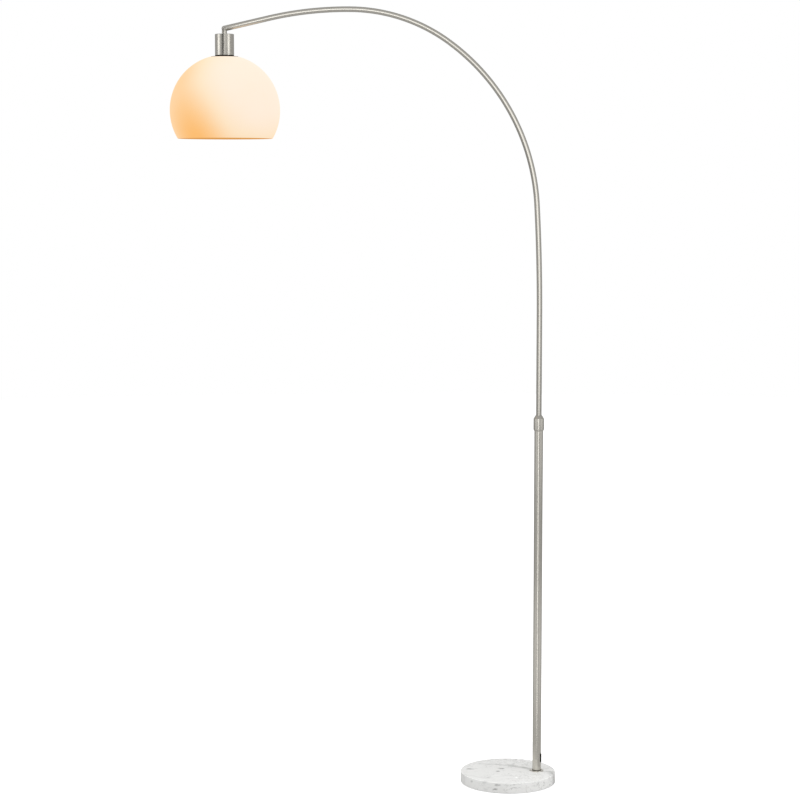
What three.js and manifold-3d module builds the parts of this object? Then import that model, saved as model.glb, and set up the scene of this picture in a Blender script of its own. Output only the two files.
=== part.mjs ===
// Arc floor lamp: a marble base, a pole in two stages with a twist-lock collar, a curved arm
// that swivels on the upper stage, and a dome shade hung from a lampholder at the arm's tip.
// Millimetres, +Z up. The origin is the centre of the base on the floor, and the arm reaches to -X.
import * as THREE from "three";
import { mergeVertices } from "three/addons/utils/BufferGeometryUtils.js";
import Module from "manifold-3d";

const wasm = await Module();
wasm.setup();

// ---------- driving dimensions ----------
const PAD = { radius: 100, thickness: 1 };
const BASE = { radius: 105, thickness: 23.5, edge: 1.5 };
const POLE_X = 64; // the pole stands this far behind the centre of the base
const LOWER_POLE = { outer: 9.5, inner: 8.3 }; // 19 mm tube
const UPPER_TUBE = { outer: 6, inner: 5.1 }; // 12 mm tube, used for the mast and the arm
const COLLAR = { bottom: 785, height: 34, radius: 11.5 };
const MAST = { bottom: 736.5, top: 1037.5 };
const GROMMET = { z: 54, height: 18.6, width: 13, corner: 1.8 };
const ARM_REACH = 682; // from the pole's axis to the axis of the shade
const ARM_ARCS = [
  { radius: 4300, turn: 3.2 },
  { radius: 464, turn: 51.1 },
  { radius: 367, turn: 35 },
  { radius: 754, turn: 13.7 },
];
const SHADE = { radius: 118.8, wall: 1.5, centre: 1481.4, top: 1595.6, mouth: 102.3, hole: 17.5 };
const CUP = { radius: 20.5, wall: 0.75, bottom: 3.4, top: 48.9 }; // heights above the shade's top
const BULB = { radius: 30, centre: -62, wall: 0.8, neck: 12 }; // its centre is below the shade's top
const LEAD_RADIUS = 1.8;
const GAP = 0.25; // between pieces that touch

const BASE_TOP = PAD.thickness + BASE.thickness;
const RADIANS = Math.PI / 180;

// ---------- materials ----------
const material = (color, roughness, metalness) =>
  new THREE.MeshStandardMaterial({ color, roughness, metalness });
const MARBLE = material(0xedece9, 0.25, 0);
const NICKEL = material(0xb9b5aa, 0.32, 1);
const ZINC = material(0xa7a9ab, 0.4, 1);
const BRASS = material(0xc9a45c, 0.35, 1);
const OPAL = material(0xffe3c0, 0.35, 0);
const OPAL_GLASS = material(0xfff6e6, 0.2, 0);
const BLACK_PLASTIC = material(0x141414, 0.5, 0);
const RUBBER = material(0x1c1a19, 0.8, 0);
const WHITE_PLASTIC = material(0xe9e7e1, 0.4, 0);
const NYLON = material(0xd8d6cc, 0.5, 0);
const FOAM = material(0x3a3a3a, 0.95, 0);

// ---------- geometry helpers ----------

// A solid of revolution about Z, from a closed outline of [radius, z] points.
function revolve(outline, segments = 24) {
  const area = outline.reduce((sum, [r, z], i) => {
    const [nextR, nextZ] = outline[(i + 1) % outline.length];
    return sum + r * nextZ - nextR * z;
  }, 0);
  const ordered = area > 0 ? outline : [...outline].reverse();
  const points = [...ordered, ordered[0]].map(([r, z]) => new THREE.Vector2(r, z));
  return new THREE.LatheGeometry(points, segments).rotateX(Math.PI / 2);
}

// Points along an arc of an outline, from one angle to another, in degrees.
function arc(centre, radius, from, to, steps) {
  return Array.from({ length: steps + 1 }, (_, i) => {
    const angle = (from + ((to - from) * i) / steps) * RADIANS;
    return [centre[0] + radius * Math.cos(angle), centre[1] + radius * Math.sin(angle)];
  });
}

// Points along an arc that crosses its circle's widest height, with one point there.
function bulge(centre, radius, from, to, steps) {
  const before = Math.round((steps * Math.abs(from)) / Math.abs(to - from));
  return [...arc(centre, radius, from, 0, before), ...arc(centre, radius, 0, to, steps - before).slice(1)];
}

const ring = (outer, inner, bottom, top, segments) =>
  revolve([[inner, bottom], [outer, bottom], [outer, top], [inner, top]], segments);

const rod = (radius, bottom, top, segments = 16) =>
  new THREE.CylinderGeometry(radius, radius, top - bottom, segments)
    .rotateX(Math.PI / 2)
    .translate(0, 0, (top + bottom) / 2);

// A flat shape with an optional round hole, raised from one height to another.
function raise(outline, hole, bottom, top) {
  const shape = new THREE.Shape(outline.map(([x, y]) => new THREE.Vector2(x, y)));
  if (hole) shape.holes.push(new THREE.Path().absarc(0, 0, hole, 0, 2 * Math.PI, true));
  const options = { depth: top - bottom, bevelEnabled: false, curveSegments: 12 };
  return new THREE.ExtrudeGeometry(shape, options).translate(0, 0, bottom);
}

function hexagon(acrossFlats) {
  const corner = acrossFlats / 2 / Math.cos(30 * RADIANS);
  return arc([0, 0], corner, 0, 300, 5);
}

const polygon = (radius, sides) => arc([0, 0], radius, 0, 360 - 360 / sides, sides - 1);

// An upright bar along +X with rounded corners.
function slotBar(width, height, corner, from, to) {
  const [side, rise] = [width / 2 - corner, height / 2 - corner];
  const outline = [
    ...arc([side, rise], corner, 0, 90, 3),
    ...arc([-side, rise], corner, 90, 180, 3),
    ...arc([-side, -rise], corner, 180, 270, 3),
    ...arc([side, -rise], corner, 270, 360, 3),
  ];
  return raise(outline, 0, from, to).rotateX(Math.PI / 2).rotateZ(Math.PI / 2);
}

// A tube swept along a curve. An inner radius of 0 makes it solid.
function sweep(curve, outer, inner, steps, sides = 16) {
  const shape = new THREE.Shape(polygon(outer, sides).map(([x, y]) => new THREE.Vector2(x, y)));
  if (inner) {
    const hole = polygon(inner, 10).reverse();
    shape.holes.push(new THREE.Path(hole.map(([x, y]) => new THREE.Vector2(x, y))));
  }
  return new THREE.ExtrudeGeometry(shape, { steps, extrudePath: curve, bevelEnabled: false });
}

// ---------- cutting and joining ----------

function solidOf(geometry) {
  const bare = geometry.index ? geometry.toNonIndexed() : geometry.clone();
  bare.deleteAttribute("normal");
  bare.deleteAttribute("uv");
  const merged = mergeVertices(bare, 1e-3);
  const mesh = { numProp: 3, vertProperties: merged.attributes.position.array };
  return new wasm.Manifold(new wasm.Mesh({ ...mesh, triVerts: new Uint32Array(merged.index.array) }));
}

function geometryOf(solid) {
  const { vertProperties, triVerts } = solid.getMesh();
  return new THREE.BufferGeometry()
    .setAttribute("position", new THREE.BufferAttribute(vertProperties, 3))
    .setIndex(new THREE.BufferAttribute(triVerts, 1));
}

const cut = (geometry, ...tools) =>
  geometryOf(tools.reduce((left, tool) => left.subtract(solidOf(tool)), solidOf(geometry)));

const join = (geometry, ...others) =>
  geometryOf(others.reduce((sum, other) => sum.add(solidOf(other)), solidOf(geometry)));

const common = (a, b) => geometryOf(solidOf(a).intersect(solidOf(b)));

// ---------- the arm's centre line ----------

// Lengths along the line at which each arc ends.
const ARC_ENDS = ARM_ARCS.reduce(
  (ends, { radius, turn }) => [...ends, (ends.at(-1) ?? 0) + radius * turn * RADIANS],
  [],
);

// The place and heading at a length along the arm, in the pole's XZ plane, from the mast's top.
function armPlace(length) {
  let place = { x: 0, z: MAST.top, heading: Math.PI / 2 };
  let start = 0;
  for (const [i, { radius }] of ARM_ARCS.entries()) {
    const turn = (Math.min(length, ARC_ENDS[i]) - start) / radius;
    if (turn <= 0) return place;
    const heading = place.heading + turn;
    place = {
      x: place.x + radius * (Math.sin(heading) - Math.sin(place.heading)),
      z: place.z - radius * (Math.cos(heading) - Math.cos(place.heading)),
      heading,
    };
    start = ARC_ENDS[i];
  }
  const rest = Math.max(0, length - start);
  return {
    x: place.x + rest * Math.cos(place.heading),
    z: place.z + rest * Math.sin(place.heading),
    heading: place.heading,
  };
}

const ARCS_END = ARC_ENDS.at(-1);
const LAST_ARC = armPlace(ARCS_END);
// The line runs on, straight, until it meets the shade's axis.
const ARM_LENGTH = ARCS_END + (LAST_ARC.x + ARM_REACH) / -Math.cos(LAST_ARC.heading);
const TIP = armPlace(ARM_LENGTH);
const ARM_SEAM = ARC_ENDS[1]; // where the arm's two tubes meet
const ELBOW_SPIGOT = 24; // the arm's tube ends this far before the tip

// A stretch of the arm's line, as a curve.
class ArmLine extends THREE.Curve {
  constructor(from, to) {
    super();
    this.from = from;
    this.to = to;
  }
  getPoint(t, target = new THREE.Vector3()) {
    const place = armPlace(this.from + (this.to - this.from) * t);
    return target.set(place.x, 0, place.z);
  }
}

// ---------- the scene graph ----------

const lamp = new THREE.Group();
const pole = new THREE.Group();
pole.position.x = POLE_X;
const head = new THREE.Group(); // its origin is on the shade's axis, at the shade's top
head.position.set(POLE_X - ARM_REACH, 0, SHADE.top);
lamp.add(pole, head);

function add(parent, name, geometry, finish) {
  const mesh = new THREE.Mesh(geometry, finish);
  mesh.name = name;
  parent.add(mesh);
  return mesh;
}

// ---------- base ----------

const ANCHOR = { hole: 5.5, pocket: 17, pocketTop: 12.5 };

function marbleBase() {
  const { radius, edge } = BASE;
  const slab = revolve(
    [
      [0, PAD.thickness],
      ...arc([radius - edge, PAD.thickness + edge], edge, -90, 0, 2),
      ...arc([radius - edge, BASE_TOP - edge], edge, 0, 90, 2),
      [0, BASE_TOP],
    ],
    56,
  );
  const hole = rod(ANCHOR.hole, 0, BASE_TOP + 5).translate(POLE_X, 0, 0);
  const pocket = rod(ANCHOR.pocket, 0, ANCHOR.pocketTop).translate(POLE_X, 0, 0);
  return cut(slab, hole, pocket);
}

add(lamp, "floor_pad", rod(PAD.radius, 0, PAD.thickness, 56), FOAM);
add(lamp, "marble_base", marbleBase(), MARBLE);

// ---------- what clamps the pole to the base ----------

const WASHER = { outer: 15, thickness: 2 };
const SPRING_WASHER = { outer: 9, thickness: 2, split: 1.2 };
const BOLT = { acrossFlats: 17, headHeight: 6.5, shank: 4.9, top: 48.5 };
const BOLT_HOLE = 5.2; // through both washers and the plug
const PLUG = { radius: 8, top: 40.5 };
const FOOT_RING = { outer: 16, hole: 8.25, height: 1.9, lobes: 5, notchDepth: 3.2, turn: -103 };
const FOOT_SEAL = { outer: 9, height: 0.8 };
const POLE_FOOT = BASE_TOP + FOOT_RING.height + FOOT_SEAL.height;

const washerBottom = ANCHOR.pocketTop - WASHER.thickness;
const springBottom = washerBottom - SPRING_WASHER.thickness;

// The spring washer is a ring with a slanted split.
function springWasher() {
  const { outer, thickness, split } = SPRING_WASHER;
  const saw = new THREE.BoxGeometry(outer, split, 4 * thickness).rotateX(35 * RADIANS);
  const placed = saw.translate(-0.75 * outer, 0, springBottom + thickness / 2);
  return cut(ring(outer, BOLT_HOLE, springBottom, washerBottom), placed);
}

function anchorBolt() {
  const { acrossFlats, headHeight, shank, top } = BOLT;
  const hexHead = raise(hexagon(acrossFlats), 0, springBottom - headHeight, springBottom);
  return join(hexHead, rod(shank, springBottom - 1, top));
}

add(pole, "anchor_washer", ring(WASHER.outer, BOLT_HOLE, washerBottom, ANCHOR.pocketTop), ZINC);
add(pole, "spring_washer", springWasher(), ZINC);
add(pole, "anchor_bolt", anchorBolt(), ZINC);
add(pole, "foot_plug", ring(PLUG.radius, BOLT_HOLE, BASE_TOP, PLUG.top), ZINC);

// The pole stands on a seal and on a plate with rounded lobes and a bevelled edge.
function footRing() {
  const { outer, hole, height, lobes, notchDepth, turn } = FOOT_RING;
  const bevel = 0.7;
  const points = lobes * 12;
  const rim = Array.from({ length: points }, (_, i) => {
    const angle = (i / points) * 2 * Math.PI;
    const notch = (0.5 - 0.5 * Math.cos(lobes * angle)) ** 2;
    const radius = outer - notchDepth * notch;
    return [radius * Math.cos(angle), radius * Math.sin(angle)];
  });
  const plate = raise(rim, 0, BASE_TOP, BASE_TOP + height).rotateZ(turn * RADIANS);
  const turned = revolve(
    [
      [hole, BASE_TOP],
      [outer + bevel, BASE_TOP],
      [outer - bevel, BASE_TOP + height],
      [hole, BASE_TOP + height],
    ],
    48,
  );
  return common(turned, plate);
}
add(pole, "foot_ring", footRing(), NICKEL);
add(pole, "foot_seal", ring(FOOT_SEAL.outer, FOOT_RING.hole, BASE_TOP + FOOT_RING.height, POLE_FOOT), RUBBER);

// ---------- lower pole, and the way out for the mains cord ----------

const POLE_TOP = 794.5;
const GROMMET_LIP = { cover: 0.75, proud: 0.65 }; // past the slot's edge, and out from the pole
const GROMMET_BORE = 3.25;

// A bar like the grommet's outline, but smaller by a margin all round.
const grommetBar = (margin, from, to) =>
  slotBar(GROMMET.width - 2 * margin, GROMMET.height - 2 * margin, GROMMET.corner - margin, from, to);

function lowerPole() {
  const tube = ring(LOWER_POLE.outer, LOWER_POLE.inner, POLE_FOOT, POLE_TOP);
  return cut(tube, grommetBar(GROMMET_LIP.cover, 0, 15).translate(0, 0, GROMMET.z));
}

// A bushing in the pole's slot: a lip outside, a body through the wall, and a bore for the cord.
function cordGrommet() {
  const { z, height } = GROMMET;
  const { outer, inner } = LOWER_POLE;
  const shell = (outside, inside) => ring(outside, inside, -height, height, 40);
  const lip = common(grommetBar(0, 5, 12), shell(outer + GROMMET_LIP.proud, outer + 0.2));
  const body = common(grommetBar(GROMMET_LIP.cover + GAP, 5, 12), shell(outer + GAP, inner - 0.9));
  const bore = rod(GROMMET_BORE, 0, 15, 20).rotateY(Math.PI / 2);
  return cut(join(lip, body), bore).translate(0, 0, z);
}

add(pole, "lower_pole", lowerPole(), NICKEL);
add(pole, "cord_grommet", cordGrommet(), BLACK_PLASTIC);

// ---------- twist-lock collar ----------

const BUSH = { bore: 6.3, stem: 8.1, shoulder: 9.35, reach: 22, top: 803.5 };
const COLLET = { inner: 6.2, outer: 8.9, tip: 7, top: 813.5, split: 0.9 };
const COLLAR_BORE = 9.8;
const COLLAR_MOUTH = 6.35; // round the mast, at the collar's top

// The bush plugs the lower pole's top, guides the mast and carries the collar's thread.
function collarBush() {
  const { bore, stem, shoulder, reach, top } = BUSH;
  return revolve([
    [bore, POLE_TOP - reach],
    [stem, POLE_TOP - reach],
    [stem, POLE_TOP + GAP],
    [shoulder, POLE_TOP + GAP],
    [shoulder, top],
    [bore, top],
  ]);
}

// The collet is a tapered sleeve, split four times from its top.
function collet() {
  const { inner, outer, tip, top, split } = COLLET;
  const bottom = BUSH.top + GAP;
  const foot = bottom + 2;
  const sleeve = revolve([[inner, bottom], [outer, bottom], [outer, foot], [tip, top], [inner, top]]);
  const saw = (quarter) =>
    new THREE.BoxGeometry(2 * inner, split, 20)
      .translate(inner, 0, foot + 11)
      .rotateZ((quarter * Math.PI) / 2);
  return cut(sleeve, ...[0, 1, 2, 3].map(saw));
}

// The collar has a chamfer at its foot, a cone from its shoulder up to the mast, and a conical seat
// inside that presses on the collet.
function lockCollar() {
  const { bottom, height, radius } = COLLAR;
  const top = bottom + height;
  const shoulder = { z: top - 7.4, round: 0.8 };
  return revolve(
    [
      [COLLAR_BORE, bottom],
      [radius - 1.6, bottom],
      [radius - 1.2, bottom + 0.4],
      [radius, bottom + 3],
      [radius, shoulder.z],
      ...arc([radius - shoulder.round, shoulder.z], shoulder.round, 10, 45, 2),
      [COLLAR_MOUTH + 0.55, top - 0.6],
      [COLLAR_MOUTH + 0.15, top],
      [COLLAR_MOUTH, top],
      [COLLAR_MOUTH, top - 1.2],
      [COLLAR_BORE, BUSH.top + 2],
    ],
    28,
  );
}

add(pole, "collar_bush", collarBush(), BRASS);
add(pole, "collet", collet(), NYLON);
add(pole, "lock_collar", lockCollar(), NICKEL);

// ---------- mast: the stage that slides in the lower pole ----------

const SPIGOT = { outer: 4.6, inner: 3.5, reach: 30 };
const LEAD_CONNECTOR = {
  top: MAST.bottom - 24,
  length: 22,
  width: 10.5,
  thickness: 7,
  pinHole: 1.4,
  pinSpacing: 5.2,
};

add(pole, "mast_tube", ring(UPPER_TUBE.outer, UPPER_TUBE.inner, MAST.bottom, MAST.top), NICKEL);

// The guide is a cup that the mast's foot stands in, chamfered so that it slides in the lower pole.
function mastGuide() {
  const bore = 4.2;
  const outer = 8.1;
  const chamfer = 0.7;
  const bottom = MAST.bottom - 2;
  const top = bottom + 18;
  const seat = MAST.bottom - GAP;
  return revolve([
    [bore, bottom],
    [outer - chamfer, bottom],
    [outer, bottom + 1],
    [outer, top - 1],
    [outer - chamfer, top],
    [UPPER_TUBE.outer + 0.2, top],
    [UPPER_TUBE.outer + 0.2, seat],
    [bore, seat],
  ]);
}
add(pole, "mast_guide", mastGuide(), NYLON);
add(pole, "mast_lead", rod(LEAD_RADIUS, LEAD_CONNECTOR.top + GAP, MAST.top, 8), WHITE_PLASTIC);

// A two-pole connector hangs on the lead, where the mains cord's own half plugs in.
function leadConnector() {
  const { top, length, width, thickness, pinHole, pinSpacing } = LEAD_CONNECTOR;
  const bottom = top - length;
  const housing = new THREE.BoxGeometry(width, thickness, length).translate(0, 0, top - length / 2);
  const hole = (side) => rod(pinHole, bottom - 1, bottom + 14, 12).translate((side * pinSpacing) / 2, 0, 0);
  return cut(housing, hole(-1), hole(1));
}
add(pole, "lead_connector", leadConnector(), WHITE_PLASTIC);

// ---------- arm ----------

const armSpigot = ring(SPIGOT.outer, SPIGOT.inner, MAST.top - SPIGOT.reach, MAST.top + SPIGOT.reach);
add(pole, "arm_spigot", armSpigot, ZINC);

const armTube = (from, to, steps) =>
  sweep(new ArmLine(from, to), UPPER_TUBE.outer, UPPER_TUBE.inner, steps);
add(pole, "arm_lower_tube", armTube(GAP, ARM_SEAM - GAP / 2, 16), NICKEL);
add(pole, "arm_upper_tube", armTube(ARM_SEAM + GAP / 2, ARM_LENGTH - ELBOW_SPIGOT, 12), NICKEL);

const COUPLER = { outer: 4.2, inner: 3.2, reach: 20 };
const couplerLine = new ArmLine(ARM_SEAM - COUPLER.reach, ARM_SEAM + COUPLER.reach);
add(pole, "arm_coupler", sweep(couplerLine, COUPLER.outer, COUPLER.inner, 4, 12), ZINC);

// ---------- elbow at the arm's tip ----------

// The elbow's own frame has its corner at the origin and the arm along +X.
const elbow = new THREE.Group();
elbow.position.set(TIP.x, 0, TIP.z);
pole.add(elbow);
const STUB = { radius: 5.5, bottom: CUP.top + GAP - (TIP.z - SHADE.top) };
const ARM_TILT = TIP.heading - Math.PI; // how far the arm rises from the tip, as an angle
const NIPPLE = { outer: 4, inner: 3, bottom: 27, top: CUP.top + GAP + 7 };

function tipElbow() {
  const towardsArm = (geometry) => geometry.rotateY(Math.PI / 2 - ARM_TILT);
  const knuckle = new THREE.SphereGeometry(UPPER_TUBE.outer, 16, 8);
  const sleeve = towardsArm(rod(UPPER_TUBE.outer, 0, ELBOW_SPIGOT - GAP));
  const spigot = towardsArm(rod(SPIGOT.outer, 0, 2 * ELBOW_SPIGOT - 4));
  const stub = rod(STUB.radius, STUB.bottom, 0);
  const armBore = towardsArm(rod(SPIGOT.inner, 0, 2 * ELBOW_SPIGOT + 6, 16));
  const stubBore = rod(SPIGOT.inner, STUB.bottom - 5, 0, 16);
  const nippleBore = rod(NIPPLE.outer + 0.2, STUB.bottom - 5, -1.5);
  const corner = new THREE.SphereGeometry(SPIGOT.inner, 12, 6);
  return cut(join(knuckle, sleeve, spigot, stub), armBore, stubBore, nippleBore, corner);
}
add(elbow, "tip_elbow", tipElbow(), NICKEL);

// ---------- head: cup, lampholder and what clamps the shade ----------

add(head, "head_nipple", ring(NIPPLE.outer, NIPPLE.inner, NIPPLE.bottom, NIPPLE.top, 20), BRASS);

const NIPPLE_HOLE = 4.25; // through the cup's end, the cap, the nut and its washer
const TOOTHED_WASHER = { outer: 7.6, root: 6.2, teeth: 12, thickness: 0.75 };
const NUT = { acrossFlats: 13, height: 3 };
const cupEnd = CUP.top - 1.25; // the underside of the cup's closed end
const washerFoot = cupEnd - TOOTHED_WASHER.thickness;

function toothedWasher() {
  const { outer, root, teeth } = TOOTHED_WASHER;
  const outline = Array.from({ length: teeth * 2 }, (_, i) => {
    const radius = i % 2 ? root : outer;
    const angle = (i / teeth) * Math.PI;
    return [radius * Math.cos(angle), radius * Math.sin(angle)];
  });
  return raise(outline, NIPPLE_HOLE, washerFoot, cupEnd);
}

const nut = raise(hexagon(NUT.acrossFlats), NIPPLE_HOLE, washerFoot - GAP - NUT.height, washerFoot - GAP);
add(head, "nipple_lock_washer", toothedWasher(), ZINC);
add(head, "nipple_nut", nut, BRASS);

function socketCup() {
  const { radius, wall, bottom, top } = CUP;
  return revolve(
    [
      [radius - wall, bottom],
      [radius - 0.3, bottom],
      [radius, bottom + 0.6],
      ...arc([radius - 1, top - 1], 1, 0, 90, 3),
      [NIPPLE_HOLE, top],
      [NIPPLE_HOLE, cupEnd],
      [radius - wall, cupEnd],
    ],
    32,
  );
}
add(head, "socket_cup", socketCup(), NICKEL);

// A wide washer lies on the shade. The cup stands on a gasket that the lampholder is seated on too.
const SHADE_WASHER = { outer: 29.5, thickness: 1.05 };
const SEAT = CUP.bottom - 0.2;
add(head, "cup_gasket", ring(CUP.radius, SHADE.hole, SHADE_WASHER.thickness, SEAT, 32), RUBBER);
add(head, "shade_washer", ring(SHADE_WASHER.outer, SHADE.hole, 0, SHADE_WASHER.thickness, 32), RUBBER);

// Heights in the lampholder are from the shade's top.
const SKIRT = { inner: 14.4, outer: 17, bottom: -22, flange: 19.2, flangeTop: 8, top: 13 };
const CAP = { wall: 1.45, round: 5, roundTop: 24, neck: 7.5, neckBottom: 31, top: 34 };
const SHADE_RING = { inner: 17.25, outer: 22, flange: 24.5, height: 7, flangeHeight: 1.5, notches: 16 };

// The skirt is the lampholder's lower half: it passes through the shade and takes the ring nut.
function holderSkirt() {
  const { inner, outer, bottom, flange, flangeTop, top } = SKIRT;
  const flangeBottom = SEAT + GAP;
  return revolve([
    [inner, bottom],
    [outer - 0.4, bottom],
    [outer, bottom + 0.6],
    [outer, flangeBottom],
    [flange, flangeBottom],
    [flange, flangeTop],
    [outer + 0.5, flangeTop],
    [outer + 0.5, top],
    [inner, top],
  ]);
}

// The cap closes the lampholder's upper half, with a neck round the nipple.
function holderCap() {
  const { wall, round, roundTop, neck, neckBottom, top } = CAP;
  const outer = SKIRT.flange;
  const bottom = SKIRT.flangeTop + GAP;
  return revolve([
    [outer - wall, bottom],
    [outer, bottom],
    ...arc([outer - round, roundTop], round, 0, 70, 4),
    [neck, neckBottom],
    [neck, top],
    [NIPPLE_HOLE, top],
    [NIPPLE_HOLE, neckBottom - 3],
    [SKIRT.inner - 0.4, roundTop + 1.5],
    [outer - wall, roundTop - 2],
  ]);
}

// The ring nut clamps the shade from below, and its rim is notched for the fingers.
function shadeRing() {
  const { inner, outer, flange, height, flangeHeight, notches } = SHADE_RING;
  const top = -SHADE.wall - GAP;
  const bottom = top - height;
  const flangeBottom = top - flangeHeight;
  const nutBody = revolve([
    [inner, bottom],
    [outer, bottom],
    [outer, flangeBottom - 0.5],
    [flange, flangeBottom],
    [flange, top],
    [inner, top],
  ]);
  const notch = (i) =>
    rod(0.9, bottom - 1, flangeBottom - 0.5, 6)
      .translate(outer + 0.3, 0, 0)
      .rotateZ((i / notches) * 2 * Math.PI);
  return cut(nutBody, ...Array.from({ length: notches }, (_, i) => notch(i)));
}

add(head, "holder_skirt", holderSkirt(), BLACK_PLASTIC);
add(head, "holder_cap", holderCap(), BLACK_PLASTIC);
add(head, "shade_ring", shadeRing(), BLACK_PLASTIC);

// Inside the lampholder: the threaded shell, the plate that carries it, and the centre tongue.
const SCREW_SHELL = { outer: 14.1, inner: 13.55, bottom: -16, top: 12 };
const PLATE = { radius: 16.5, bottom: 14, top: 19 };
const TERMINAL = { spacing: 20, head: 2.1, well: 2.4, wellDepth: 3 };
const { outer: shellOuter, inner: shellInner, bottom: shellBottom, top: shellTop } = SCREW_SHELL;
const terminals = [-TERMINAL.spacing / 2, TERMINAL.spacing / 2];
const wellFloor = PLATE.top - TERMINAL.wellDepth;

function terminalPlate() {
  const wells = terminals.map((x) => rod(TERMINAL.well, wellFloor, PLATE.top + 1, 12).translate(x, 0, 0));
  return cut(rod(PLATE.radius, PLATE.bottom, PLATE.top, 24), ...wells);
}

add(head, "holder_screw_shell", ring(shellOuter, shellInner, shellBottom, shellTop), BRASS);
add(head, "terminal_plate", terminalPlate(), WHITE_PLASTIC);
terminals.forEach((x, i) => {
  const screw = rod(TERMINAL.head, wellFloor + GAP, PLATE.top + 1.2, 16).translate(x, 0, 0);
  add(head, `terminal_screw_${i + 1}`, screw, ZINC);
});

// The tongue is a strip, fixed to the plate at one end and sprung down at the middle.
function centreTongue() {
  const top = PLATE.bottom - GAP;
  const thickness = 0.6;
  const drop = 3;
  const width = 5;
  const strip = new THREE.Shape(
    [
      [-9, top],
      [-9, top - thickness],
      [-4, top - thickness],
      [0, top - drop],
      [4, top - drop],
      [4, top - drop + thickness],
      [0.2, top - drop + thickness],
      [-3.8, top],
    ].map(([x, z]) => new THREE.Vector2(x, z)),
  );
  const flat = new THREE.ExtrudeGeometry(strip, { depth: width, bevelEnabled: false });
  return flat.translate(0, 0, -width / 2).rotateX(Math.PI / 2);
}
add(head, "centre_tongue", centreTongue(), BRASS);

// ---------- shade ----------

function shade() {
  const { radius, wall, centre, top, mouth, hole } = SHADE;
  const middle = [0, centre - top];
  const inner = radius - wall;
  const angleAt = (r, height) => Math.asin(height / r) / RADIANS;
  const mouthHeight = -Math.sqrt(radius ** 2 - mouth ** 2);
  const topHeight = top - centre;
  return revolve(
    [
      [hole, 0],
      ...bulge(middle, radius, angleAt(radius, topHeight), angleAt(radius, mouthHeight), 12),
      ...bulge(middle, inner, angleAt(inner, mouthHeight), angleAt(inner, topHeight - wall), 12),
      [hole, -wall],
    ],
    36,
  );
}
add(head, "shade", shade(), OPAL);

// ---------- bulb ----------

// The glass is a globe that narrows to a neck, open at the top inside its cap.
function bulbGlass() {
  const { radius, centre, wall, neck } = BULB;
  const shoulder = { radius: neck + 4.5, height: centre + radius - 1 };
  const neckFoot = shoulder.height + 10;
  const neckTop = neckFoot + 12;
  return revolve([
    ...bulge([0, centre], radius, -90, 35, 6),
    [shoulder.radius, shoulder.height],
    [neck, neckFoot],
    [neck, neckTop],
    [neck - wall, neckTop],
    [neck - wall, neckFoot],
    [shoulder.radius - wall, shoulder.height],
    ...bulge([0, centre], radius - wall, 35, -90, 6),
  ]);
}

// The metal cap round the neck, with the insulator and the centre contact on its end.
const BULB_CAP = { radius: 13, bottom: -22, top: 4.5, wall: 0.5, opening: 9 };
const INSULATOR = { radius: 8.2, bottom: 3, top: 8 };
const CONTACT = { radius: 4.6, height: 1.75 };

function bulbCap() {
  const { radius, bottom, top, wall, opening } = BULB_CAP;
  return revolve([
    [radius - wall, bottom],
    [radius, bottom + 1],
    [radius + 0.1, top - 2.5],
    [opening + wall, top],
    [opening, top - 0.3],
    [radius - wall, top - 2.9],
  ]);
}

function bulbInsulator() {
  const { radius, bottom, top } = INSULATOR;
  return revolve([[0, bottom], [radius, bottom], [radius, top - 2.8], [5, top], [0, top]], 20);
}

function bulbContact() {
  const { radius, height } = CONTACT;
  const bottom = INSULATOR.top + GAP;
  return revolve([[0, bottom], [radius, bottom], [radius - 1.4, bottom + 1.5], [0, bottom + height]], 20);
}

add(head, "bulb_glass", bulbGlass(), OPAL_GLASS);
add(head, "bulb_cap", bulbCap(), ZINC);
add(head, "bulb_insulator", bulbInsulator(), BLACK_PLASTIC);
add(head, "bulb_contact", bulbContact(), ZINC);

// ---------- wires in the arm ----------

// The lead follows the arm's line to its end, then turns straight down through the nipple.
function armLead() {
  const along = sweep(new ArmLine(GAP, ARM_LENGTH), LEAD_RADIUS, 0, 32, 8);
  const bend = new THREE.SphereGeometry(LEAD_RADIUS, 12, 8).translate(TIP.x, 0, TIP.z);
  const down = rod(LEAD_RADIUS, SHADE.top + PLATE.top + 3, TIP.z, 8).translate(TIP.x, 0, 0);
  return join(along, bend, down);
}
add(pole, "arm_lead", armLead(), WHITE_PLASTIC);

export default lamp;
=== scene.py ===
"""Arc floor lamp: the visible surfaces, materials, light and camera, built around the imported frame."""

import math

import bmesh
import bpy
from mathutils import Matrix, Vector


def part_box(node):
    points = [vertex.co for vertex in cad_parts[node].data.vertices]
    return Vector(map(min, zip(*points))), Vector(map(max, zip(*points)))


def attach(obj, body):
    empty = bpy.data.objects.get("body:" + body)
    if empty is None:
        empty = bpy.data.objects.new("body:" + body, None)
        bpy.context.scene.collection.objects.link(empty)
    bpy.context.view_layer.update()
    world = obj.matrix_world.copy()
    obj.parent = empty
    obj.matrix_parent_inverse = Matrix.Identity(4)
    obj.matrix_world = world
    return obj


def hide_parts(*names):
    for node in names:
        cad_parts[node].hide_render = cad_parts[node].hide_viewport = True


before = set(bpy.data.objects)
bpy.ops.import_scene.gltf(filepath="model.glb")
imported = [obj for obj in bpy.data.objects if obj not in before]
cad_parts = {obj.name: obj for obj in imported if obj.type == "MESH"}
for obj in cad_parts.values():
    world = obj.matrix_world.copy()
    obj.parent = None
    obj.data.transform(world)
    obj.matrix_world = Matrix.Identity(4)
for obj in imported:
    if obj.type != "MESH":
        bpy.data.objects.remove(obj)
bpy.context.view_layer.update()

MM = 0.001

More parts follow.
